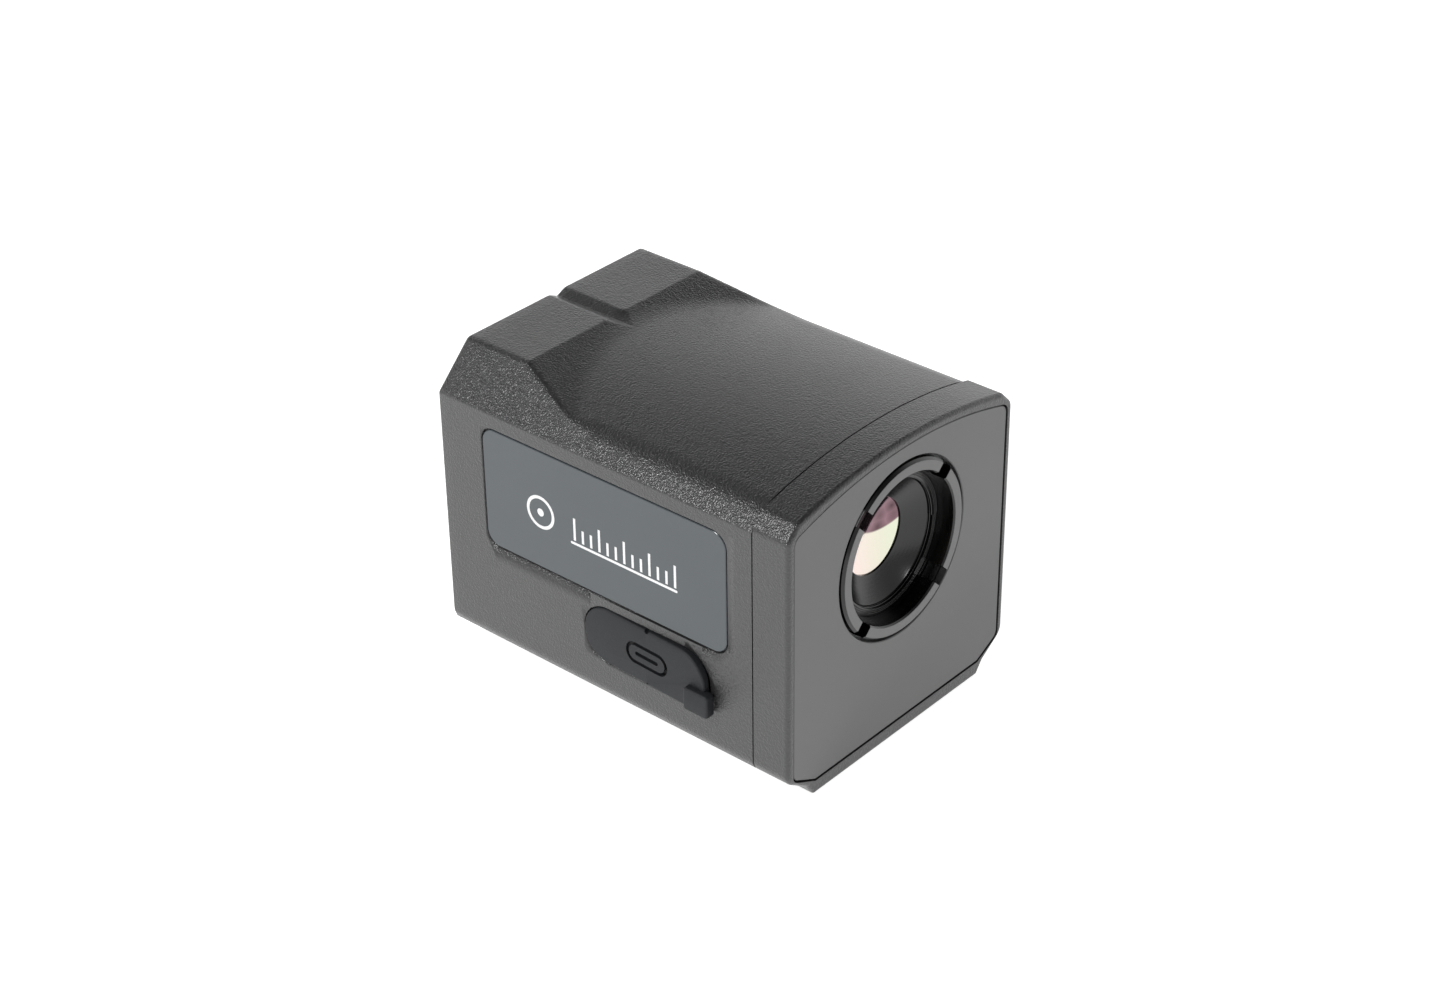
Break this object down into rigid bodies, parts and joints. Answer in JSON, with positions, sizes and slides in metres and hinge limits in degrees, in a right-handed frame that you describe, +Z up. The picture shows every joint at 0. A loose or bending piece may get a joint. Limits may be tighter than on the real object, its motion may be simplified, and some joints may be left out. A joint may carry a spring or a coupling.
{
  "type": "compact thermal imaging camera",
  "caption": "Palm-sized thermal camera: boxy cast body with raised grooved roof, slotted focus ring round a germanium lens, flush side panel, hinged rubber port cover.",
  "frame": {"origin": "centre of the tripod socket's mouth, in the flat base, near the middle of the body", "axes": "+Z up, the lens looks along -Y, +X is the side away from the port cover"},
  "size_m": [0.0508, 0.0647, 0.0491],
  "materials": {
    "housing_coat": "fine textured dark grey powder coat on cast aluminium",
    "plate_grey": "smooth satin grey paint on aluminium",
    "panel_grey": "smooth blue-grey polycarbonate",
    "cover_rubber": "matte moulded silicone rubber",
    "ring_grey": "satin grey anodised face, gloss black bore",
    "black_anodised": "black anodised, turned",
    "germanium": "polished germanium with a purple and cream coating",
    "seal_rubber": "black rubber",
    "adhesive": "black foam tape",
    "steel": "zinc plated steel",
    "brass": "nickel-free turned brass",
    "bare_aluminium": "machined, clear anodised",
    "board_green": "solder mask on glass-epoxy",
    "component_black": "moulded epoxy",
    "ceramic": "alumina ceramic",
    "silicon": "polished silicon",
    "pad_grey": "soft thermal silicone",
    "flex_amber": "polyimide film",
    "connector_cream": "moulded nylon"
  },
  "bodies": {
    "camera_body": {"bezel_gasket": "seal_rubber", "bezel_screws": "steel", "board_connector": "connector_cream", "board_spacers": "brass", "core_screws": "steel", "detector_chip": "silicon", "detector_package": "ceramic", "detector_window": "germanium", "flex_cable": "flex_amber", "flex_connectors": "connector_cream", "front_bezel": "housing_coat", "front_plate": "plate_grey", "front_plate_tape": "adhesive", "front_standoffs": "brass", "guide_pins": "steel", "heat_spreader": "bare_aluminium", "interface_board": "board_green", "interface_screws": "steel", "lens_mount": "black_anodised", "main_housing": "housing_coat", "port_cover_anchor": "cover_rubber", "power_inductors": "component_black", "processor_board": "board_green", "processor_chip": "component_black", "rear_standoffs": "brass", "sensor_board": "board_green", "shutter_actuator": "component_black", "shutter_base": "bare_aluminium", "side_panel": "panel_grey", "side_panel_tape": "adhesive", "spreader_screws": "steel", "thermal_pad": "pad_grey", "tripod_insert": "steel", "usb_receptacle": "steel", "usb_tongue": "component_black"},
    "focus_ring_body": {"focus_ring": "ring_grey", "focus_ring_seal": "seal_rubber"},
    "lens_cell_body": {"lens_cell": "black_anodised", "lens_retainer": "black_anodised", "front_lens": "germanium", "front_lens_seal": "seal_rubber", "lens_spacer": "black_anodised", "rear_lens": "germanium"},
    "shutter_flag": {"shutter_shaft": "steel", "shutter_blade": "black_anodised"},
    "port_cover": {"port_cover_flap": "cover_rubber"}
  },
  "joints": [
    {"name": "focus_turn", "type": "hinge", "parent": "camera_body", "child": "focus_ring_body", "pos_m": [0, -0.03, 0.0309], "axis": [0, -1, 0], "range_deg": [-135, 135]},
    {"name": "focus_slide", "type": "slide", "parent": "camera_body", "child": "lens_cell_body", "axis": [0, -1, 0], "range_m": [-0.00056, 0.00056]},
    {"name": "shutter_swing", "type": "hinge", "parent": "camera_body", "child": "shutter_flag", "pos_m": [0.0105, -0.017, 0.0216], "axis": [0, -1, 0], "range_deg": [0, 46]},
    {"name": "port_cover_hinge", "type": "hinge", "parent": "camera_body", "child": "port_cover", "pos_m": [-0.02475, -0.0069, 0.01485], "axis": [0, 0, -1], "range_deg": [0, 110], "stiffness_Nm_per_rad": 0.0005}
  ],
  "couplings": [
    {"joint": "focus_turn", "follows": "focus_slide", "rad_per_m": 4188.8}
  ]
}
